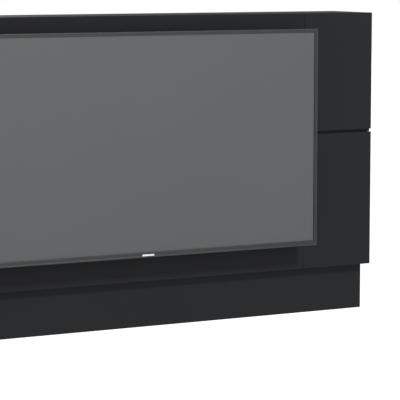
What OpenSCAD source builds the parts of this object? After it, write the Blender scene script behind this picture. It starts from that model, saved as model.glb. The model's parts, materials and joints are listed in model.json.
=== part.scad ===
// Wall-hung media cabinet with a flat television on a tilting bracket.
//
// X runs to the right, Y into the wall and Z up. The wall is the plane y = 0, and the
// origin is the middle of the wall rail's screw holes, so everything in front has y < 0.

/* [Cabinet] */
// Width over the fronts and the carcass
cabinet_w = 1760; // [1740:10:2000]
// Height of the fronts above the groove
upper_front_h = 390; // [370:5:460]
// Height of the fronts below the groove
lower_front_h = 450; // [430:5:500]
// Height of the groove between the upper and lower fronts
groove_h = 10; // [8:1:14]
// Depth of the groove behind the face of the fronts
groove_depth = 10; // [6:1:14]
// Depth of the carcass, from the wall to its front edges
carcass_d = 232; // [210:2:300]
// Thickness of the carcass panels
panel_t = 18; // [16:1:19]
// Thickness of the doors and the flap
door_t = 16; // [15:1:19]
// Gap between a closed door and the carcass, where the hinge leaves lie
door_gap = 2; // [2:0.2:3]
// Width of the hairline joint between a door and the centre front
seam_w = 1; // [0.8:0.2:3]
// Distance from the middle of the cabinet to that joint
seam_x = 619.5; // [619.5:0.5:640]

/* [Base box] */
// Height of the base box under the fronts
base_h = 155; // [130:5:200]
// How far the base box is set in at each end
base_inset = 15; // [10:1:40]
// How far the flap lies behind the face of the fronts
base_recess = 35; // [30:1:60]

/* [Television] */
// Width of the television
tv_w = 1230; // [1100:5:1230]
// Height of the television
tv_h = 710; // [640:5:710]
// Height of its lower edge above the lower edge of the fronts
tv_rise = 92; // [90:1:140]
// Distance from the face of the fronts to the face of the television
tv_proud = 95; // [95:1:120]
// Width of its frame at the sides and the top
bezel_w = 11.2; // [8:0.2:16]
// Width of its frame at the bottom
chin_h = 15.4; // [14:0.2:30]

/* [Hinges] */
// Radius of a hinge barrel
barrel_r = 2.5; // [2:0.1:2.5]
// Radius of a hinge pin
pin_r = 1.25; // [1:0.05:1.3]
// Thickness of a hinge leaf
leaf_t = 0.9; // [0.7:0.1:0.9]

/* [Wall rail] */
// Distance from the top of the cabinet to the rail's screw line
rail_drop = 60; // [60:1:80]
// Distance between the outer two rail screws
outer_screw_span = 1600; // [1400:10:1640]
// Distance between the inner two rail screws
inner_screw_span = 540; // [400:10:800]
// Radius of a rail screw hole
rail_hole_r = 4; // [3:0.25:5]

/* [Hidden] */
$fn = 64;
eps = 1;          // how far a cutting tool runs past the surface that it cuts
fit = 0.1;        // radial clearance of a turning pin

board = [0.17, 0.17, 0.18];
dark = [0.08, 0.08, 0.09];
backing = [0.42, 0.36, 0.28];
steel = [0.60, 0.62, 0.64];
black_steel = [0.12, 0.12, 0.13];
bezel_grey = [0.24, 0.25, 0.26];
screen_grey = [0.39, 0.41, 0.40];
plastic = [0.75, 0.76, 0.78];

// Levels along Z
half_w = cabinet_w / 2;
top_z = rail_drop;
groove_top_z = top_z - upper_front_h;
groove_low_z = groove_top_z - groove_h;
groove_mid_z = (groove_top_z + groove_low_z) / 2;
bottom_z = groove_low_z - lower_front_h;
base_low_z = bottom_z - base_h;
inner_top_z = top_z - panel_t;
inner_low_z = bottom_z + panel_t;
shelf_top_z = groove_mid_z + panel_t / 2;
shelf_low_z = groove_mid_z - panel_t / 2;

// Planes along Y
edge_y = -carcass_d;
door_back_y = edge_y - door_gap;
face_y = door_back_y - door_t;
flap_face_y = face_y + base_recess;
flap_back_y = flap_face_y + door_t;
base_edge_y = flap_back_y + door_gap;

// Positions along X
inner_x = half_w - panel_t;
divider_in_x = seam_x - panel_t / 2;
divider_out_x = seam_x + panel_t / 2;
door_in_x = seam_x + seam_w / 2;
centre_x = seam_x - seam_w / 2;
base_x = half_w - base_inset;
base_inner_x = base_x - panel_t;
base_divider_x = base_inner_x / 3;

// Back panel, in grooves that leave a service space to the wall
back_y = -20;
back_t = 4;
back_in_y = back_y - back_t;
back_slot_d = 8;
back_slot_play = 0.2;
socket_x = 150;
socket_z = (shelf_low_z + inner_low_z) / 2;
socket_size = [200, 120];
cable_r = 30;
cable_y = -100;

// Corner hinges: the barrel lies in a rebate between the door and the carcass
barrel_play = 0.2;
barrel_relief = 0.5;
barrel_inset = barrel_r + barrel_play;
rebate_w = 6;
door_rebate_d = 2;
carcass_rebate_d = 3;
hinge_x = half_w - barrel_inset;
hinge_y = edge_y - door_gap / 2;
hinge_end = 2;
leaf_play = 0.1;
leaf_w = 11;
door_knuckles = 9;
flap_knuckles = 17;
knuckle_play = 0.3;
flap_hinge_y = base_edge_y - door_gap / 2;
flap_hinge_z = base_low_z + barrel_inset;
flap_top_play = 3;
flap_top_z = bottom_z - flap_top_play;
flap_hinge_half = base_inner_x - hinge_end;

// Loose shelves on pins in rows of holes
shelf_t = 16;
shelf_play = 1.5;
shelf_set_back = 6;
shelf_back_gap = 2;
shelf_front_y = edge_y + shelf_set_back;
shelf_back_y = back_in_y - shelf_back_gap;
hole_r = 2.5;
hole_depth = 9;
hole_pitch = 32;
hole_steps = [-2, -1, 0, 1, 2];
pin_inset = 37;
pin_ys = [edge_y + pin_inset, back_in_y - pin_inset];
pin_stub = 8;
upper_bay_z = (inner_top_z + shelf_top_z) / 2;
lower_bay_z = (inner_low_z + shelf_low_z) / 2;
bay_zs = [upper_bay_z, lower_bay_z];

// Eccentric cams that draw the top and the bottom onto the uprights
cam_r = 7.5;
cam_t = 12;
cam_inset = 34;
cam_front_inset = 50;
cam_back_inset = 40;
cam_ys = [edge_y + cam_front_inset, back_in_y - cam_back_inset];
cam_xs = [inner_x - cam_inset, divider_out_x + cam_inset];

// Touch latches
latch_size = [14, 60, 18];
latch_axis_drop = 10;
latch_set_back = 3;
latch_side_inset = 18;
latch_x = divider_out_x + latch_side_inset;
flap_latch_x = 2 * base_divider_x;
plunger_r = 3.5;
plunger_head_r = 4.5;
plunger_head_t = 2.2;
plunger_len = 46;
plunger_play = 0.3;
plunger_bore_r = plunger_r + plunger_play;
plunger_bore_len = 50;
strike_size = [20, 0.6, 15];
strike_gap = 0.2;

// Wall rail, a steel strip with a raised lip
rail_t = 2;
rail_half_h = 12;
rail_lip_h = 16;
rail_offset = 8;
rail_end_gap = 2;
rail_half_len = inner_x - rail_end_gap;
hook_h = 10;
hook_inset = 7;
hook_t = 4;
hook_play = 2;
hook_z = rail_half_h + rail_lip_h;
hook_top_z = hook_z + hook_h;
hook_x = inner_x - hook_inset;

// Television and its bracket
tv_face_y = face_y - tv_proud;
tv_low_z = bottom_z + tv_rise;
tv_mid_z = tv_low_z + tv_h / 2;
frame_d = 14;
frame_back_y = tv_face_y + frame_d;
rim_w = 4.5;
rim_step = 1;
screen_sink = 4;
slab_d = 15;
slab_step = 4;
hump_d = 16;
slab_y = frame_back_y + slab_d;
hump_y = slab_y + hump_d;
cover_t = 3;
hump_half_w = 430;
hump_top = 220;
hump_low = 300;
tv_bolt_half = 200;
tv_bolt_r = 4;
plate_size = [41, 1.2, 5.4];
inlet_size = [28, 20];
inlet_x = -300;

pivot_reach = 25;
pivot_y = face_y - pivot_reach;
pivot_r = 4;
ear_t = 3;
ear_half_h = 18;
ear_end = 9;
arm_half_w = 15;
arm_x = tv_bolt_half;
plate_t = 3;
plate_half_w = 320;
plate_rail_h = 40;
plate_half_h = 110;
web_x = 120;
web_w = 40;
arm_t = 3;
arm_face_y = face_y - plate_t - arm_t;
arm_extra = 5;
tilt_rail_half_h = 230;
tilt_rail_t = 3;
ear_play = 0.6;
screw_r = 3;
screw_head_r = 6.5;
screw_head_t = 4;
screw_tip_gap = 2;
screw_xs = [-280, 280];
screw_z = plate_half_h - plate_rail_h / 2;
backing_h = 100;
mid_rail_d = 82;

SIDES = ["left", "right"];
LEVELS = ["upper", "lower"];
DOOR_NODES = [for (level = LEVELS) for (side = SIDES)
    for (piece = ["door", "hinge_leaf", "strike_plate", "latch_plunger"])
        str(level, "_", side, "_", piece)];
FLAP_NODES = ["flap", "flap_hinge_leaf", "flap_strike_plates",
    "flap_left_latch_plunger", "flap_right_latch_plunger"];
TV_NODES = ["tv_tilt_rails", "tv_rail_screws", "tv_back_cover", "tv_frame", "tv_screen",
    "tv_plate"];
CARCASS_NODES = ["left_side_panel", "right_side_panel", "top_panel", "bottom_panel",
    "left_divider", "right_divider", "mid_shelves", "mid_rail", "backing_boards",
    "centre_upright", "back_panel", "upper_centre_front", "lower_centre_front",
    "groove_strip", "loose_shelves", "shelf_pins", "cam_fasteners", "base_ends",
    "base_floor", "base_back_rail", "base_dividers", "cable_grommet", "wall_rail",
    "hangers", "door_hinge_frame_leaves", "door_hinge_pins", "flap_hinge_frame_leaf",
    "flap_hinge_pin", "latch_housings", "bracket_plate", "bracket_arms",
    "bracket_screws", "tilt_bolts"];

// ---- helpers ----

// A box from its lowest corner to its highest
module block(low, high) {
    translate(low)
        cube(high - low);
}

// The same pieces on the right and, mirrored, on the left
module on_both_sides() {
    children();
    mirror([1, 0, 0])
        children();
}

// The piece on one named side only
module on_side(side) {
    if (side == "right")
        children();
    else
        mirror([1, 0, 0])
            children();
}

// A cylinder along Y, from y_from towards +Y
module rod_y(x, y_from, z, r, len) {
    translate([x, y_from, z])
        rotate([-90, 0, 0])
            cylinder(r = r, h = len);
}

// A cylinder along X, from x_from towards +X
module rod_x(x_from, y, z, r, len) {
    translate([x_from, y, z])
        rotate([0, 90, 0])
            cylinder(r = r, h = len);
}

// ---- carcass ----

// Rows of shelf-pin holes, bored towards +X from the plane x
module pin_holes(x) {
    for (bay_z = bay_zs)
        for (y = pin_ys)
            for (step = hole_steps)
                rod_x(x, y, bay_z + step * hole_pitch, hole_r, hole_depth + eps);
}

// The channel that the back panel stands in, cut in a face that looks along X or Z
module back_channel(low_x, high_x, low_z, high_z) {
    block([low_x, back_in_y - back_slot_play, low_z],
          [high_x, back_y + back_slot_play, high_z]);
}

module side_panel() {
    color(board)
        difference() {
            block([inner_x, edge_y, bottom_z], [half_w, 0, top_z]);
            back_channel(inner_x - eps, inner_x + back_slot_d,
                         inner_low_z - back_slot_d, inner_top_z + back_slot_d);
            block([half_w - rebate_w, edge_y - eps, bottom_z - eps],
                  [half_w + eps, edge_y + carcass_rebate_d, top_z + eps]);
            pin_holes(inner_x - eps);
        }
}

module divider() {
    color(board)
        difference() {
            block([divider_in_x, edge_y, inner_low_z],
                  [divider_out_x, back_in_y, inner_top_z]);
            pin_holes(divider_out_x - hole_depth);
        }
}

// Cam positions on the right half; the dividers and the ends each take two
module at_cams() {
    for (x = cam_xs)
        for (y = cam_ys)
            translate([x, y, 0])
                children();
}

module top_panel() {
    color(board)
        difference() {
            block([-inner_x, edge_y, inner_top_z], [inner_x, 0, top_z]);
            back_channel(-inner_x - eps, inner_x + eps,
                         inner_top_z - eps, inner_top_z + back_slot_d);
            on_both_sides()
                at_cams()
                    translate([0, 0, inner_top_z - eps])
                        cylinder(r = cam_r, h = cam_t + eps);
        }
}

module bottom_panel() {
    color(board)
        difference() {
            block([-inner_x, edge_y, bottom_z], [inner_x, 0, inner_low_z]);
            back_channel(-inner_x - eps, inner_x + eps,
                         inner_low_z - back_slot_d, inner_low_z + eps);
            on_both_sides()
                at_cams()
                    translate([0, 0, inner_low_z - cam_t])
                        cylinder(r = cam_r, h = cam_t + eps);
            translate([socket_x, cable_y, bottom_z - eps])
                cylinder(r = cable_r, h = panel_t + 2 * eps);
        }
}

// A cam with a cross slot in its open face; up is 1 when that face looks up
module cam(face_z, up) {
    slot_w = 2;
    slot_len = 10;
    slot_d = 3;
    difference() {
        translate([0, 0, up > 0 ? face_z - cam_t : face_z])
            cylinder(r = cam_r, h = cam_t);
        for (turn = [0, 90])
            rotate([0, 0, turn])
                translate([0, 0, face_z])
                    cube([slot_len, slot_w, 2 * slot_d], center = true);
    }
}

module cam_fasteners() {
    color(steel)
        on_both_sides()
            at_cams() {
                cam(inner_top_z, -1);
                cam(inner_low_z, 1);
            }
}

module mid_shelves() {
    color(board)
        on_both_sides()
            block([divider_out_x, edge_y, shelf_low_z], [inner_x, back_in_y, shelf_top_z]);
}

module mid_rail() {
    color(board)
        block([-divider_in_x, edge_y, shelf_low_z],
              [divider_in_x, edge_y + mid_rail_d, shelf_top_z]);
}

// Holes for the bracket's screws, through its plate, the centre fronts and the boards behind
module bracket_screw_holes() {
    for (x = screw_xs)
        for (z = [-screw_z, screw_z])
            rod_y(x, face_y - plate_t - eps, tv_mid_z + z, screw_r, carcass_d);
}

module backing_boards() {
    color(backing)
        difference() {
            union() {
                block([-divider_in_x, edge_y, shelf_top_z],
                      [divider_in_x, edge_y + panel_t, shelf_top_z + backing_h]);
                block([-divider_in_x, edge_y, shelf_low_z - backing_h],
                      [divider_in_x, edge_y + panel_t, shelf_low_z]);
            }
            bracket_screw_holes();
        }
}

module centre_upright() {
    color(board)
        block([-panel_t / 2, edge_y + mid_rail_d, inner_low_z],
              [panel_t / 2, back_in_y, inner_top_z]);
}

module back_panel() {
    tongue = back_slot_d - 0.5;
    color(dark)
        difference() {
            block([-inner_x - tongue, back_in_y, inner_low_z - tongue],
                  [inner_x + tongue, back_y, inner_top_z + tongue]);
            translate([socket_x, back_y, socket_z])
                cube([socket_size[0], 4 * back_t, socket_size[1]], center = true);
            on_both_sides()
                block([hook_x - hook_t, back_in_y - eps, hook_z - hook_play],
                      [hook_x + hook_t, back_y + eps, hook_top_z + hook_play]);
        }
}

module upper_centre_front() {
    color(board)
        difference() {
            block([-centre_x, face_y, groove_top_z], [centre_x, edge_y, top_z]);
            bracket_screw_holes();
        }
}

module lower_centre_front() {
    color(board)
        difference() {
            block([-centre_x, face_y, bottom_z], [centre_x, edge_y, groove_low_z]);
            bracket_screw_holes();
            rod_y(socket_x, face_y - eps, socket_z, cable_r, door_t + door_gap + 2 * eps);
        }
}

// A ring that lines the cable hole behind the television
module cable_grommet() {
    flange_r = cable_r + 5;
    flange_t = 2;
    inner_r = cable_r - 4;
    color(dark)
        difference() {
            union() {
                rod_y(socket_x, face_y, socket_z, cable_r, door_t + door_gap);
                rod_y(socket_x, face_y - flange_t, socket_z, flange_r, flange_t);
            }
            rod_y(socket_x, face_y - flange_t - eps, socket_z, inner_r, 2 * door_t);
        }
}

// The strip that closes the groove from behind
module groove_strip() {
    play = 0.8;
    end_play = 0.5;
    color(dark)
        block([-half_w + end_play, face_y + groove_depth, groove_low_z + play],
              [half_w - end_play, edge_y, groove_top_z - play]);
}

module loose_shelves() {
    color(board)
        on_both_sides()
            for (z = bay_zs)
                block([divider_out_x + shelf_play, shelf_front_y, z + hole_r],
                      [inner_x - shelf_play, shelf_back_y, z + hole_r + shelf_t]);
}

module shelf_pins() {
    color(steel)
        on_both_sides()
            for (z = bay_zs)
                for (y = pin_ys) {
                    rod_x(divider_out_x - hole_depth, y, z, hole_r, hole_depth + pin_stub);
                    rod_x(inner_x - pin_stub, y, z, hole_r, hole_depth + pin_stub);
                }
}

// ---- base box ----

// The rebate for the flap's hinge barrel, along the lower front edge
module flap_rebate() {
    block([-half_w, base_edge_y - eps, base_low_z - eps],
          [half_w, base_edge_y + carcass_rebate_d, base_low_z + rebate_w]);
}

module base_ends() {
    color(board)
        difference() {
            on_both_sides()
                block([base_inner_x, base_edge_y, base_low_z], [base_x, 0, bottom_z]);
            flap_rebate();
        }
}

module base_floor() {
    color(board)
        difference() {
            block([-base_inner_x, base_edge_y, base_low_z],
                  [base_inner_x, 0, base_low_z + panel_t]);
            flap_rebate();
        }
}

module base_back_rail() {
    color(board)
        block([-base_inner_x, -panel_t, base_low_z + panel_t],
              [base_inner_x, 0, bottom_z]);
}

module base_dividers() {
    color(board)
        on_both_sides()
            block([base_divider_x, base_edge_y, base_low_z + panel_t],
                  [base_divider_x + panel_t, -panel_t, bottom_z]);
}

// ---- wall rail and hangers ----

module wall_rail() {
    // Section in Y and Z: a flat foot on the wall and a lip that stands clear of it
    section = [
        [0, -rail_half_h], [0, rail_half_h], [rail_t - rail_offset, rail_half_h],
        [rail_t - rail_offset, hook_z], [-rail_offset, hook_z],
        [-rail_offset, rail_half_h - rail_t], [-rail_t, rail_half_h - rail_t],
        [-rail_t, -rail_half_h]
    ];
    color(steel)
        difference() {
            translate([-rail_half_len, 0, 0])
                rotate([90, 0, 90])
                    linear_extrude(height = 2 * rail_half_len)
                        polygon(section);
            for (span = [outer_screw_span, inner_screw_span])
                on_both_sides()
                    rod_y(span / 2, -rail_t - eps, 0, rail_hole_r, rail_t + 2 * eps);
        }
}

// A hanger in each top corner, with a hook that drops over the rail's lip
module hangers() {
    body_low_z = -20;
    body_front_y = -80;
    body_back_y = back_in_y - 2;
    body_w = 14;
    finger_y = -rail_offset + 3;
    finger_t = 2.5;
    finger_z = rail_half_h + 4;
    color(steel)
        on_both_sides() {
            block([inner_x - body_w, body_front_y, body_low_z],
                  [inner_x, body_back_y, hook_top_z]);
            block([hook_x - hook_t / 2, body_back_y, hook_z],
                  [hook_x + hook_t / 2, finger_y + finger_t, hook_top_z]);
            block([hook_x - hook_t / 2, finger_y, finger_z],
                  [hook_x + hook_t / 2, finger_y + finger_t, hook_top_z]);
        }
}

// ---- hinges ----

// One half of a corner hinge along Z, with its barrel on the Z axis. The leaf lies
// towards -X; side is 1 for the carcass half at y > 0 and -1 for the door half.
module hinge_half(len, knuckles, side, bore_r) {
    pitch = len / knuckles;
    root_x = -(barrel_r + barrel_relief);
    leaf_y = side > 0 ? leaf_play : -leaf_play - leaf_t;
    start = side > 0 ? 0 : 1;
    difference() {
        union() {
            block([root_x - leaf_w, leaf_y, 0], [root_x, leaf_y + leaf_t, len]);
            for (i = [start:2:knuckles - 1])
                translate([0, 0, i * pitch + knuckle_play / 2]) {
                    cylinder(r = barrel_r, h = pitch - knuckle_play);
                    block([root_x - eps, leaf_y, 0],
                          [0, leaf_y + leaf_t, pitch - knuckle_play]);
                }
        }
        translate([0, 0, -eps])
            cylinder(r = bore_r, h = len + 2 * eps);
    }
}

function front_low_z(level) = level == "upper" ? groove_top_z : bottom_z;
function front_h(level) = level == "upper" ? upper_front_h : lower_front_h;
function door_hinge_len(level) = front_h(level) - 2 * hinge_end;

module at_door_hinge(level) {
    translate([hinge_x, hinge_y, front_low_z(level) + hinge_end])
        children();
}

module door_hinge_frame_leaves() {
    color(black_steel)
        on_both_sides()
            for (level = LEVELS)
                at_door_hinge(level)
                    hinge_half(door_hinge_len(level), door_knuckles, 1, pin_r);
}

module door_hinge_leaf(level) {
    color(black_steel)
        at_door_hinge(level)
            hinge_half(door_hinge_len(level), door_knuckles, -1, pin_r + fit);
}

module door_hinge_pins() {
    color(steel)
        on_both_sides()
            for (level = LEVELS)
                at_door_hinge(level)
                    cylinder(r = pin_r, h = door_hinge_len(level));
}

// Turns a hinge along Z into the flap's: barrel along X, leaves upwards, door half in front
module at_flap_hinge() {
    translate([-flap_hinge_half, flap_hinge_y, flap_hinge_z])
        rotate([0, 90, 0])
            children();
}

module flap_hinge_frame_leaf() {
    color(black_steel)
        at_flap_hinge()
            hinge_half(2 * flap_hinge_half, flap_knuckles, 1, pin_r);
}

module flap_hinge_leaf() {
    color(black_steel)
        at_flap_hinge()
            hinge_half(2 * flap_hinge_half, flap_knuckles, -1, pin_r + fit);
}

module flap_hinge_pin() {
    color(steel)
        at_flap_hinge()
            cylinder(r = pin_r, h = 2 * flap_hinge_half);
}

// ---- doors and flap ----

module door(level) {
    low_z = front_low_z(level);
    high_z = low_z + front_h(level);
    color(board)
        difference() {
            block([door_in_x, face_y, low_z], [half_w, door_back_y, high_z]);
            block([half_w - rebate_w, door_back_y - door_rebate_d, low_z - eps],
                  [half_w + eps, door_back_y + eps, high_z + eps]);
        }
}

module flap() {
    color(board)
        difference() {
            block([-base_x, flap_face_y, base_low_z], [base_x, flap_back_y, flap_top_z]);
            block([-half_w, flap_back_y - door_rebate_d, base_low_z - eps],
                  [half_w, flap_back_y + eps, base_low_z + rebate_w]);
        }
}

// ---- touch latches ----

// Height of a door latch's axis: under the top panel or over the bottom panel
function latch_z(level) = level == "upper"
    ? inner_top_z - latch_axis_drop
    : inner_low_z + latch_axis_drop;
flap_latch_z = bottom_z - latch_axis_drop;

// A housing with its bore's mouth at front_y; it hangs from or stands on seat_z
module latch_housing(x, front_y, axis_z, seat_z) {
    low_z = seat_z > axis_z ? seat_z - latch_size[2] : seat_z;
    difference() {
        block([x - latch_size[0] / 2, front_y, low_z],
              [x + latch_size[0] / 2, front_y + latch_size[1], low_z + latch_size[2]]);
        rod_y(x, front_y - eps, axis_z, plunger_bore_r, plunger_bore_len + eps);
    }
}

module latch_housings() {
    color(plastic)
        on_both_sides() {
            latch_housing(latch_x, edge_y + latch_set_back, latch_z("upper"), inner_top_z);
            latch_housing(latch_x, edge_y + latch_set_back, latch_z("lower"), inner_low_z);
            latch_housing(flap_latch_x, base_edge_y + latch_set_back, flap_latch_z, bottom_z);
        }
}

// A plunger whose head stops just short of the strike plate on the board's back
module plunger(x, board_y, z) {
    tip_y = board_y + strike_size[1] + strike_gap;
    color(dark) {
        rod_y(x, tip_y, z, plunger_head_r, plunger_head_t);
        rod_y(x, tip_y, z, plunger_r, plunger_len);
    }
}

module strike_plate(x, board_y, z) {
    color(steel)
        block([x - strike_size[0] / 2, board_y, z - strike_size[2] / 2],
              [x + strike_size[0] / 2, board_y + strike_size[1], z + strike_size[2] / 2]);
}

// ---- television ----

// The frame: a narrow raised rim round a border that lies a step behind it
module tv_frame() {
    color(bezel_grey)
        difference() {
            block([-tv_w / 2, tv_face_y, tv_low_z], [tv_w / 2, frame_back_y, tv_low_z + tv_h]);
            block([-tv_w / 2 + rim_w, tv_face_y - eps, tv_low_z + rim_w],
                  [tv_w / 2 - rim_w, tv_face_y + rim_step, tv_low_z + tv_h - rim_w]);
            block([-tv_w / 2 + bezel_w, tv_face_y - eps, tv_low_z + chin_h],
                  [tv_w / 2 - bezel_w, frame_back_y + eps, tv_low_z + tv_h - bezel_w]);
        }
}

module tv_screen() {
    color(screen_grey)
        block([-tv_w / 2 + bezel_w, tv_face_y + screen_sink, tv_low_z + chin_h],
              [tv_w / 2 - bezel_w, frame_back_y, tv_low_z + tv_h - bezel_w]);
}

// The plain bright plate on the frame's lower border, just over the rim
module tv_plate() {
    color("white")
        translate([-plate_size[0] / 2, tv_face_y + rim_step - plate_size[1],
                   tv_low_z + rim_w])
            cube(plate_size);
}

// The cover's volume behind front_y, drawn in by an even margin
module cover_body(margin, front_y) {
    slab_inset = slab_step + margin;
    block([-tv_w / 2 + slab_inset, front_y, tv_low_z + slab_inset],
          [tv_w / 2 - slab_inset, slab_y - margin, tv_low_z + tv_h - slab_inset]);
    block([-hump_half_w + margin, front_y, tv_mid_z - hump_low + margin],
          [hump_half_w - margin, hump_y - margin, tv_mid_z + hump_top - margin]);
}

module tv_back_cover() {
    color(bezel_grey)
        difference() {
            cover_body(0, frame_back_y);
            cover_body(cover_t, frame_back_y - eps);
            for (x = [-tv_bolt_half, tv_bolt_half])
                for (z = [-tv_bolt_half, tv_bolt_half])
                    rod_y(x, hump_y - cover_t - eps, tv_mid_z + z, tv_bolt_r,
                          cover_t + 2 * eps);
            translate([inlet_x, hump_y, tv_mid_z - tv_bolt_half])
                cube([inlet_size[0], 4 * cover_t, inlet_size[1]], center = true);
        }
}

// ---- tilting bracket ----

module bracket_plate() {
    back = face_y;
    front = face_y - plate_t;
    low_z = tv_mid_z - plate_half_h;
    high_z = tv_mid_z + plate_half_h;
    color(black_steel)
        difference() {
            union() {
                block([-plate_half_w, front, high_z - plate_rail_h],
                      [plate_half_w, back, high_z]);
                block([-plate_half_w, front, low_z],
                      [plate_half_w, back, low_z + plate_rail_h]);
                on_both_sides()
                    block([web_x, front, low_z], [web_x + web_w, back, high_z]);
            }
            bracket_screw_holes();
        }
}

// Ears with a pivot hole, one to each side of an arm
module ears(outer_half_w, near_y, far_y, bore_r) {
    low_y = min(near_y, far_y);
    high_y = max(near_y, far_y);
    difference() {
        for (x = [arm_x - outer_half_w, arm_x + outer_half_w - ear_t])
            block([x, low_y, tv_mid_z - ear_half_h],
                  [x + ear_t, high_y, tv_mid_z + ear_half_h]);
        rod_x(arm_x - outer_half_w - eps, pivot_y, tv_mid_z, bore_r,
              2 * outer_half_w + 2 * eps);
    }
}

// Arms that hook over the plate's upper edge and carry the pivots
module bracket_arms() {
    low_z = tv_mid_z - plate_half_h - arm_extra;
    high_z = tv_mid_z + plate_half_h;
    color(black_steel)
        on_both_sides() {
            block([arm_x - arm_half_w, arm_face_y, low_z],
                  [arm_x + arm_half_w, arm_face_y + arm_t, high_z + arm_t]);
            block([arm_x - arm_half_w, arm_face_y, high_z],
                  [arm_x + arm_half_w, face_y, high_z + arm_t]);
            ears(arm_half_w, arm_face_y, pivot_y - ear_end, pivot_r);
        }
}

module tilt_bolts() {
    overhang = 3;
    head_t = 4;
    head_r = 7;
    color(steel)
        on_both_sides() {
            rod_x(arm_x - arm_half_w - overhang, pivot_y, tv_mid_z, pivot_r,
                  2 * (arm_half_w + overhang));
            rod_x(arm_x + arm_half_w, pivot_y, tv_mid_z, head_r, head_t);
        }
}

module bracket_screws() {
    grip = plate_t + door_t + door_gap + panel_t - screw_tip_gap;
    color(steel)
        for (x = screw_xs)
            for (z = [-screw_z, screw_z]) {
                rod_y(x, face_y - plate_t, tv_mid_z + z, screw_r, grip);
                rod_y(x, face_y - plate_t - screw_head_t, tv_mid_z + z, screw_head_r,
                      screw_head_t);
            }
}

// Rails on the television's back that turn on the arms' pivots
module tv_tilt_rails() {
    rail_y = hump_y + tilt_rail_t;
    half = arm_half_w - ear_t - ear_play;
    color(black_steel)
        on_both_sides()
            difference() {
                union() {
                    block([arm_x - half, hump_y, tv_mid_z - tilt_rail_half_h],
                          [arm_x + half, rail_y, tv_mid_z + tilt_rail_half_h]);
                    ears(half, rail_y, pivot_y + ear_end, pivot_r + 2 * fit);
                }
                for (z = [-tv_bolt_half, tv_bolt_half])
                    rod_y(arm_x, hump_y - eps, tv_mid_z + z, tv_bolt_r,
                          tilt_rail_t + 2 * eps);
            }
}

module tv_rail_screws() {
    head_r = 7;
    head_t = 4;
    color(steel)
        on_both_sides()
            for (z = [-tv_bolt_half, tv_bolt_half]) {
                rod_y(tv_bolt_half, hump_y - cover_t, tv_mid_z + z, tv_bolt_r,
                      cover_t + tilt_rail_t);
                rod_y(tv_bolt_half, hump_y + tilt_rail_t, tv_mid_z + z, head_r, head_t);
            }
}

// ---- nodes ----

on_side("left") side_panel();  // left_side_panel
on_side("right") side_panel();  // right_side_panel
top_panel();
bottom_panel();
on_side("left") divider();  // left_divider
on_side("right") divider();  // right_divider
mid_shelves();
mid_rail();
backing_boards();
centre_upright();
back_panel();
upper_centre_front();
lower_centre_front();
groove_strip();
loose_shelves();
shelf_pins();
cam_fasteners();
base_ends();
base_floor();
base_back_rail();
base_dividers();
cable_grommet();
wall_rail();
hangers();
door_hinge_frame_leaves();
door_hinge_pins();
flap_hinge_frame_leaf();
flap_hinge_pin();
latch_housings();
bracket_plate();
bracket_arms();
bracket_screws();
tilt_bolts();

for (level = LEVELS)
    for (side = SIDES) {
        name = str(level, "_", side);
        on_side(side) door(level);
        on_side(side) door_hinge_leaf(level);
        on_side(side) strike_plate(latch_x, door_back_y, latch_z(level));
        on_side(side) plunger(latch_x, door_back_y, latch_z(level));
    }

flap();
flap_hinge_leaf();
on_both_sides() strike_plate(flap_latch_x, flap_back_y, flap_latch_z);  // flap_strike_plates
on_side("left") plunger(flap_latch_x, flap_back_y, flap_latch_z);  // flap_left_latch_plunger
on_side("right") plunger(flap_latch_x, flap_back_y, flap_latch_z);  // flap_right_latch_plunger
tv_tilt_rails();
tv_rail_screws();
tv_back_cover();
tv_frame();
tv_screen();
tv_plate();
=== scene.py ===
"""Looks of the wall-hung media cabinet: materials, rounded edges, floor, light and camera.

Everything is in metres in the CAD frame: X to the right, Y into the wall, Z up.
"""
import json
import math

import bpy
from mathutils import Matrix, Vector


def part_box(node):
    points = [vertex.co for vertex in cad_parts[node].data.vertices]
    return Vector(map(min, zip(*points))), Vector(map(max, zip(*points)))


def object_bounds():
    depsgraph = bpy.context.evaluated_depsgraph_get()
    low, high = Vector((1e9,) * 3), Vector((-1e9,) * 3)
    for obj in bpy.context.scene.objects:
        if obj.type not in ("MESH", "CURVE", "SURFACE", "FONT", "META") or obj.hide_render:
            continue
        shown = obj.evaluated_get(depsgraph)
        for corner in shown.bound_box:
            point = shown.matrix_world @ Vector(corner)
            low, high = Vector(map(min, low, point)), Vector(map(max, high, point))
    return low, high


MM = 0.001
X_AXIS, Y_AXIS, Z_AXIS = range(3)
WHITE = (1.0, 1.0, 1.0, 1.0)

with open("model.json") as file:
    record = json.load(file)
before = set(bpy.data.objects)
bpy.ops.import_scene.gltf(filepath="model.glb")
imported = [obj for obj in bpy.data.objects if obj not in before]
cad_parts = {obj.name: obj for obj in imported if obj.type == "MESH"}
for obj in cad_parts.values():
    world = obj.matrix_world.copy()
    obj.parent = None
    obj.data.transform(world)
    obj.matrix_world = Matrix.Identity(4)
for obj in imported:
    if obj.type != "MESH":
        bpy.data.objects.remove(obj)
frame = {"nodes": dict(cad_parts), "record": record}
cad_box = [list(corner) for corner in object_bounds()]
NODES = frame["nodes"]


# ---- node-material helpers ----

# Most values of a noise texture lie between these two.
NOISE_LOW, NOISE_HIGH = 0.3, 0.7
# The largest component of a normal, on a square-built piece's flat faces and on its bevelled edges.
ON_FLAT_FACE, ON_BEVEL = 0.98, 0.8
# A face looks at the wall when its normal's component along +Y is more than this.
TOWARDS_WALL = 0.9
# The Mix node names its sockets alike for every type of data, so the ones for colour go by number.
COLOUR_A, COLOUR_B, COLOUR_RESULT = 6, 7, 2


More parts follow.
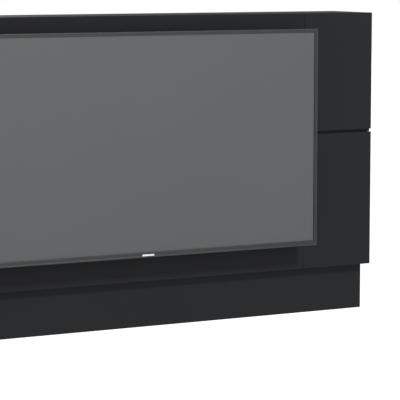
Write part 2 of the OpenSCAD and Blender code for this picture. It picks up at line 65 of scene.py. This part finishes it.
class Shader:
    """One procedural material: a Principled shader and the nodes that feed it."""

    def __init__(self, name, **values):
        self.material = bpy.data.materials.new(name)
        self.material.use_nodes = True
        self.tree = self.material.node_tree
        self.bsdf = self.tree.nodes["Principled BSDF"]
        for socket, value in values.items():
            self.set(socket.replace("_", " "), value)
        coords = self.tree.nodes.new("ShaderNodeTexCoord")
        self.place = coords.outputs["Object"]
        self.normal = coords.outputs["Normal"]

    def set(self, socket, value):
        self.bsdf.inputs[socket].default_value = value

    def node(self, kind, **settings):
        made = self.tree.nodes.new(kind)
        for key, value in settings.items():
            setattr(made, key, value)
        return made

    def link(self, source, target):
        self.tree.links.new(source, target)

    def stretched(self, x=1.0, y=1.0, z=1.0):
        """Object coordinates, scaled apart along X, Y and Z: a noise is longer where the scale is less."""
        mapping = self.node("ShaderNodeMapping")
        mapping.inputs["Scale"].default_value = (x, y, z)
        self.link(self.place, mapping.inputs["Vector"])
        return mapping.outputs["Vector"]

    def noise(self, scale, detail=4.0, roughness=0.5, place=None):
        made = self.node("ShaderNodeTexNoise")
        made.inputs["Scale"].default_value = scale
        made.inputs["Detail"].default_value = detail
        made.inputs["Roughness"].default_value = roughness
        self.link(place or self.place, made.inputs["Vector"])
        return made.outputs["Fac"]

    def remap(self, source, low, high, to_low=0.0, to_high=1.0):
        """The range low to high of a value, stretched over to_low to to_high and held at its ends."""
        made = self.node("ShaderNodeMapRange")
        for socket, value in zip(
            ("From Min", "From Max", "To Min", "To Max"), (low, high, to_low, to_high)
        ):
            made.inputs[socket].default_value = value
        self.link(source, made.inputs["Value"])
        return made.outputs["Result"]

    def math(self, operation, first, second):
        made = self.node("ShaderNodeMath", operation=operation)
        for socket, value in zip(made.inputs, (first, second)):
            if isinstance(value, (int, float)):
                socket.default_value = value
            else:
                self.link(value, socket)
        return made.outputs["Value"]

    def mix(self, factor, first, second):
        """The first colour where the factor is 0, the second where it is 1."""
        made = self.node("ShaderNodeMix", data_type="RGBA")
        self.link(factor, made.inputs["Factor"])
        for number, value in ((COLOUR_A, first), (COLOUR_B, second)):
            if isinstance(value, tuple):
                made.inputs[number].default_value = (*value, 1.0)
            else:
                self.link(value, made.inputs[number])
        return made.outputs[COLOUR_RESULT]

    def shades(self, noise, dark, light):
        """Two colours that change over into each other with a noise."""
        return self.mix(self.remap(noise, NOISE_LOW, NOISE_HIGH), dark, light)

    def axes(self, vector):
        """The X, Y and Z of a vector."""
        made = self.node("ShaderNodeSeparateXYZ")
        self.link(vector, made.inputs["Vector"])
        return made.outputs

    def edges(self):
        """1 on the bevelled edges of a square-built piece, 0 on its flat faces."""
        sizes = [self.math("ABSOLUTE", axis, 0.0) for axis in self.axes(self.normal)]
        largest = self.math("MAXIMUM", self.math("MAXIMUM", sizes[0], sizes[1]), sizes[2])
        return self.remap(largest, ON_FLAT_FACE, ON_BEVEL)

    def facing_wall(self):
        """1 on faces that look at the wall, along +Y, 0 on the others."""
        return self.math("GREATER_THAN", self.axes(self.normal)[Y_AXIS], TOWARDS_WALL)

    def inside(self, box, margin):
        """1 where a point lies more than margin inside the box along X and Z, 0 elsewhere."""
        place = self.axes(self.place)
        within = []
        for axis in (X_AXIS, Z_AXIS):
            middle = (box[0][axis] + box[1][axis]) / 2
            reach = (box[1][axis] - box[0][axis]) / 2 - margin
            away = self.math("ABSOLUTE", self.math("SUBTRACT", place[axis], middle), 0.0)
            within.append(self.math("LESS_THAN", away, reach))
        return self.math("MULTIPLY", *within)

    def colour(self, source):
        self.link(source, self.bsdf.inputs["Base Color"])

    def rough(self, noise, smooth, coarse):
        """A roughness that goes from smooth to coarse with a noise."""
        self.link(self.remap(noise, NOISE_LOW, NOISE_HIGH, smooth, coarse), self.bsdf.inputs["Roughness"])

    def bump(self, height, distance, strength):
        made = self.node("ShaderNodeBump")
        made.inputs["Strength"].default_value = strength
        made.inputs["Distance"].default_value = distance
        self.link(height, made.inputs["Height"])
        self.link(made.outputs["Normal"], self.bsdf.inputs["Normal"])


# ---- materials ----

# The noise values at the bottom and the top of melamine's grain.
GRAIN_VALLEY, GRAIN_RIDGE = 0.35, 0.65
# The noise values at which a speck in bare fibreboard begins and is full, and how dark it then is.
SPECK_START, SPECK_FULL, SPECK_STRENGTH = 0.62, 0.72, 0.6
# How much lighter plastic is on its edges.
PLASTIC_EDGE_LIGHTENING = 1.6
RIM_WIDTH = 4.4 * MM
# How far the painted shade of the screen's recess reaches onto the frame's front.
PAINTED_SHADE_WIDTH = 0.4 * MM


def melamine(name, bare_back=False):
    """Matt black board facing: fine pressed grain, faint clouding and a painted highlight on the edges,
    which are coloured lighter.

    With bare_back the faces that look at the wall are left as uncoated fibreboard, as on a real carcass.
    """
    made = Shader(name, IOR=1.45, Specular_IOR_Level=0.12)
    cloud = made.noise(3.0, detail=3.0)
    grain = made.noise(900.0, detail=3.0, roughness=0.6)
    ridge = made.remap(grain, GRAIN_VALLEY, GRAIN_RIDGE)
    dark = made.shades(cloud, (0.0116, 0.0122, 0.0134), (0.0127, 0.0134, 0.0146))
    light = made.shades(cloud, (0.0145, 0.0152, 0.0166), (0.0160, 0.0167, 0.0182))
    # Painted highlight: the bevelled edges are given a lighter colour than the face.
    surface = made.mix(made.edges(), made.mix(ridge, dark, light), (0.045, 0.046, 0.049))
    if bare_back:
        fibre = made.noise(400.0, detail=5.0, roughness=0.7, place=made.stretched(y=0.3))
        bare = made.shades(fibre, (0.12, 0.085, 0.052), (0.20, 0.15, 0.095))
        surface = made.mix(made.facing_wall(), surface, bare)
    made.colour(surface)
    made.rough(grain, 0.48, 0.64)
    made.bump(grain, distance=0.08 * MM, strength=0.5)
    return made.material


def raw_fibreboard():
    """Bare fibreboard: pressed fibres, drawn out along Z, on a warm brown with darker specks."""
    made = Shader("raw_fibreboard", Roughness=0.85)
    fibre = made.noise(400.0, detail=5.0, roughness=0.7, place=made.stretched(z=0.3))
    speck = made.noise(1500.0, detail=2.0)
    base = made.shades(fibre, (0.23, 0.16, 0.095), (0.36, 0.27, 0.17))
    specks = made.remap(speck, SPECK_START, SPECK_FULL, 0.0, SPECK_STRENGTH)
    made.colour(made.mix(specks, base, (0.12, 0.08, 0.05)))
    made.bump(fibre, distance=0.15 * MM, strength=0.6)
    return made.material


def painted_hardboard():
    """Thin black back sheet: painted, with the texture of hardboard showing through."""
    made = Shader("painted_hardboard", IOR=1.45)
    weave = made.noise(600.0, detail=2.0, place=made.stretched(z=0.6))
    made.colour(made.shades(made.noise(5.0), (0.016, 0.016, 0.018), (0.024, 0.024, 0.026)))
    made.rough(weave, 0.6, 0.8)
    made.bump(weave, distance=0.1 * MM, strength=0.5)
    return made.material


def moulded(name, dark, light, smooth=0.45, coarse=0.6, grain_size=1200.0, worn_edges=True):
    """Moulded plastic with a fine spark-eroded texture, and lighter edges where worn_edges is set."""
    made = Shader(name, IOR=1.46)
    grain = made.noise(grain_size, detail=2.0)
    surface = made.shades(made.noise(12.0), dark, light)
    if worn_edges:
        worn = tuple(PLASTIC_EDGE_LIGHTENING * level for level in light)
        surface = made.mix(made.edges(), surface, worn)
    made.colour(surface)
    made.rough(grain, smooth, coarse)
    made.bump(grain, distance=0.04 * MM, strength=0.4)
    return made.material


def powder_coat():
    """Black powder coat with its orange peel."""
    made = Shader("black_powder_coat", IOR=1.5)
    peel = made.noise(500.0, detail=2.0)
    made.colour(made.shades(made.noise(30.0), (0.010, 0.010, 0.011), (0.016, 0.016, 0.017)))
    made.rough(peel, 0.35, 0.5)
    made.bump(peel, distance=0.08 * MM, strength=0.4)
    return made.material


def anodised():
    """Black anodised strip, drawn along X."""
    made = Shader("black_anodised", Metallic=0.6)
    drawn = made.noise(900.0, detail=3.0, place=made.stretched(x=0.02))
    made.colour(made.shades(drawn, (0.004, 0.004, 0.0044), (0.007, 0.007, 0.0077)))
    made.rough(drawn, 0.42, 0.58)
    made.bump(drawn, distance=0.02 * MM, strength=0.3)
    return made.material


def zinc():
    """Zinc-plated steel: bright, slightly blue, with clouds and fine scratches along X."""
    made = Shader("zinc_steel", Metallic=1.0)
    cloud = made.noise(60.0)
    scratch = made.noise(1400.0, detail=2.0, place=made.stretched(x=0.1))
    made.colour(made.shades(cloud, (0.50, 0.52, 0.55), (0.66, 0.67, 0.69)))
    made.rough(scratch, 0.28, 0.42)
    made.bump(scratch, distance=0.02 * MM, strength=0.3)
    return made.material


def frame_metal():
    """The television's frame: a brushed grey rim, a darker border and a near-black line along the screen,
    which is painted shade of the screen's recess.
    """
    made = Shader("tv_frame_satin", Metallic=0.1)
    brushed = made.noise(1600.0, detail=2.0, place=made.stretched(x=0.05, z=0.05))
    cloud = made.noise(8.0)
    rim = made.shades(cloud, (0.0240, 0.0268, 0.0275), (0.0272, 0.0303, 0.0310))
    border = made.shades(cloud, (0.0179, 0.0198, 0.0203), (0.0203, 0.0226, 0.0233))
    within_rim = made.inside(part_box("tv_frame"), RIM_WIDTH)
    metal = made.mix(made.edges(), made.mix(within_rim, rim, border), (0.024, 0.0266, 0.0275))
    # Painted shade: the recess walls around the screen and a thin strip of the border are painted
    # near-black.
    within_painted_shade = made.inside(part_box("tv_screen"), -PAINTED_SHADE_WIDTH)
    made.colour(made.mix(within_painted_shade, metal, (0.006, 0.0065, 0.007)))
    made.rough(brushed, 0.40, 0.52)
    made.bump(brushed, distance=0.01 * MM, strength=0.3)
    return made.material


def screen_glass():
    """Switched-off panel with an anti-glare film: even grey, faint clouding, fine film grain."""
    made = Shader("tv_screen_film", IOR=1.4)
    film = made.noise(2500.0, detail=2.0)
    cloud = made.noise(1.2, detail=2.0)
    made.colour(made.shades(cloud, (0.074, 0.081, 0.081), (0.0785, 0.0855, 0.0855)))
    made.rough(film, 0.38, 0.48)
    made.bump(film, distance=0.01 * MM, strength=0.2)
    return made.material


def bright_plate():
    """Satin bright metal of the blank plate under the screen."""
    made = Shader("bright_plate", Metallic=0.25)
    brushed = made.noise(3000.0, detail=2.0, place=made.stretched(x=0.05))
    made.colour(made.shades(brushed, (0.68, 0.70, 0.71), (0.77, 0.79, 0.80)))
    made.rough(brushed, 0.25, 0.35)
    return made.material


BLACK_PLASTIC = {"dark": (0.010, 0.010, 0.011), "light": (0.016, 0.016, 0.017)}
GREY_PLASTIC = {"dark": (0.22, 0.23, 0.24), "light": (0.27, 0.28, 0.29)}
COVER_PLASTIC = {"dark": (0.015, 0.015, 0.016), "light": (0.021, 0.021, 0.023)}

# The material of each slot in the record.
MATERIALS = {
    "black_board": melamine("matt_black_melamine"),
    "raw_board": raw_fibreboard(),
    "back_sheet": painted_hardboard(),
    "black_trim": anodised(),
    "black_plastic": moulded("black_plastic", **BLACK_PLASTIC, worn_edges=False),
    "grey_plastic": moulded("grey_plastic", **GREY_PLASTIC),
    "zinc_steel": zinc(),
    "black_steel": powder_coat(),
    "tv_cover": moulded("tv_cover_plastic", **COVER_PLASTIC, smooth=0.5, coarse=0.65, grain_size=700.0),
    "tv_frame": frame_metal(),
    "tv_screen": screen_glass(),
    "bright_plate": bright_plate(),
}

# Boards that show a bare face to the wall.
CARCASS = (
    "left_side_panel", "right_side_panel", "top_panel", "bottom_panel", "base_ends", "base_floor"
)
CARCASS_MATERIAL = melamine("carcass_board", bare_back=True)


# ---- rounded edges ----

WELD_REACH = 0.01 * MM
SHARP_ANGLE = math.radians(40)
EDGE_SEGMENTS = 2
# How wide the bevels are, by slot. The other slots keep the edges that the CAD gives them.
EDGE_WIDTH = {
    "black_board": 0.3 * MM,
    "raw_board": 0.3 * MM,
    "grey_plastic": 0.8 * MM,
    "tv_frame": 0.8 * MM,
    "tv_cover": 1.2 * MM,
    "bright_plate": 0.4 * MM,
}


def dress(obj, material):
    obj.data.materials.clear()
    obj.data.materials.append(material)


def round_edges(obj, width):
    """A small bevel on every sharp edge, so that the edge catches the light.

    The CAD mesh comes with its faces split apart, so a weld joins them first.
    """
    weld = obj.modifiers.new("joined_faces", "WELD")
    weld.merge_threshold = WELD_REACH
    bevel = obj.modifiers.new("edges", "BEVEL")
    bevel.width = width
    bevel.segments = EDGE_SEGMENTS
    bevel.limit_method = "ANGLE"
    bevel.angle_limit = SHARP_ANGLE
    bevel.harden_normals = False


for part in frame["record"]["subparts"]:
    node = NODES[part["node"]]
    slot = part["material_slot"]
    dress(node, CARCASS_MATERIAL if part["node"] in CARCASS else MATERIALS[slot])
    if slot in EDGE_WIDTH:
        round_edges(node, EDGE_WIDTH[slot])


# ---- floor, light and camera ----

# The floor is far below, because the cabinet hangs and is also looked at from below.
FLOOR_DROP = 4.5
STUDIO_SIZE = 200.0
BACKDROP_WHITE = 0.8

# How much light the floor and the world give, and how bright they show to the camera.
FLOOR_GLOW, FLOOR_GLOW_SEEN = 0.62, 0.9
AMBIENT, AMBIENT_SEEN = 0.33, 1.0

# The lamps, placed from the cabinet's middle: the key is at the upper right in front, the fill is
# weak and straight in front, and the three others light the sides and the back.
CENTRE = Vector([(low + high) / 2 for low, high in zip(*cad_box)])
KEY = {"offset": (1.8, -5.64, 4.44), "size": 1.02, "power": 328.0}
FILL = {"offset": (0.4, -5.0, 1.0), "size": 2.5, "power": 45.0}
AROUND = {"size": 2.5, "power": 150.0}
AROUND_OFFSETS = {"left": (-5.0, 1.2, 1.5), "right": (5.0, 1.2, 1.5), "back": (0.0, 5.5, 2.0)}

# The camera, fitted to the edges of the cabinet and the television in the photo.
CAMERA_PLACE = (-2.7049, -5.9807, 0.2250)
CAMERA_YAW = math.radians(27.131)
CAMERA_PITCH = math.radians(6.759)
CAMERA_LENS = 180.0
CAMERA_SENSOR = 36.0


def aim(obj, direction):
    """Turn a lamp or a camera to look along a direction, upright."""
    obj.rotation_euler = direction.to_track_quat("-Z", "Y").to_euler()


def two_levels(tree, lighting, seen):
    """A strength that is one value for the light that it gives and another for how white it shows."""
    path = tree.nodes.new("ShaderNodeLightPath")
    strength = tree.nodes.new("ShaderNodeMapRange")
    strength.inputs["To Min"].default_value = lighting
    strength.inputs["To Max"].default_value = seen
    tree.links.new(path.outputs["Is Camera Ray"], strength.inputs["Value"])
    return strength.outputs["Result"]


def make_floor():
    """A plain white floor, wide enough to fill every view."""
    low_z = cad_box[0][Z_AXIS] - FLOOR_DROP
    half = STUDIO_SIZE / 2
    corners = [(-half, -half, low_z), (half, -half, low_z), (half, half, low_z), (-half, half, low_z)]
    mesh = bpy.data.meshes.new("floor")
    mesh.from_pydata(corners, [], [(0, 1, 2, 3)])
    floor = bpy.data.objects.new("floor", mesh)
    bpy.context.scene.collection.objects.link(floor)
    made = Shader("studio_white", Roughness=0.9)
    made.set("Base Color", (BACKDROP_WHITE,) * 3 + (1.0,))
    made.set("Emission Color", WHITE)
    made.link(two_levels(made.tree, FLOOR_GLOW, FLOOR_GLOW_SEEN), made.bsdf.inputs["Emission Strength"])
    dress(floor, made.material)


def area_light(name, offset, size, power):
    """A round lamp that the camera doesn't see, aimed at the cabinet's middle."""
    data = bpy.data.lights.new(name, "AREA")
    data.shape = "DISK"
    data.size = size
    data.energy = power
    lamp = bpy.data.objects.new(name, data)
    place = CENTRE + Vector(offset)
    lamp.location = place
    aim(lamp, CENTRE - place)
    lamp.visible_camera = False
    bpy.context.scene.collection.objects.link(lamp)


def make_world():
    """An even white surround."""
    world = bpy.data.worlds.new("studio")
    bpy.context.scene.world = world
    world.use_nodes = True
    tree = world.node_tree
    background = tree.nodes["Background"]
    background.inputs["Color"].default_value = WHITE
    tree.links.new(two_levels(tree, AMBIENT, AMBIENT_SEEN), background.inputs["Strength"])


def make_camera():
    """Left of the cabinet, a little above it, looking slightly down at its lower right corner."""
    data = bpy.data.cameras.new("camera")
    data.sensor_width = CAMERA_SENSOR
    data.lens = CAMERA_LENS
    camera = bpy.data.objects.new("camera", data)
    camera.location = CAMERA_PLACE
    level = math.cos(CAMERA_PITCH)
    ahead = (math.sin(CAMERA_YAW) * level, math.cos(CAMERA_YAW) * level, -math.sin(CAMERA_PITCH))
    aim(camera, Vector(ahead))
    bpy.context.scene.collection.objects.link(camera)
    bpy.context.scene.camera = camera


make_floor()
area_light("key", **KEY)
area_light("fill", **FILL)
for name, offset in AROUND_OFFSETS.items():
    area_light(name, offset, **AROUND)
make_world()
make_camera()
bpy.context.scene.view_settings.view_transform = "Standard"
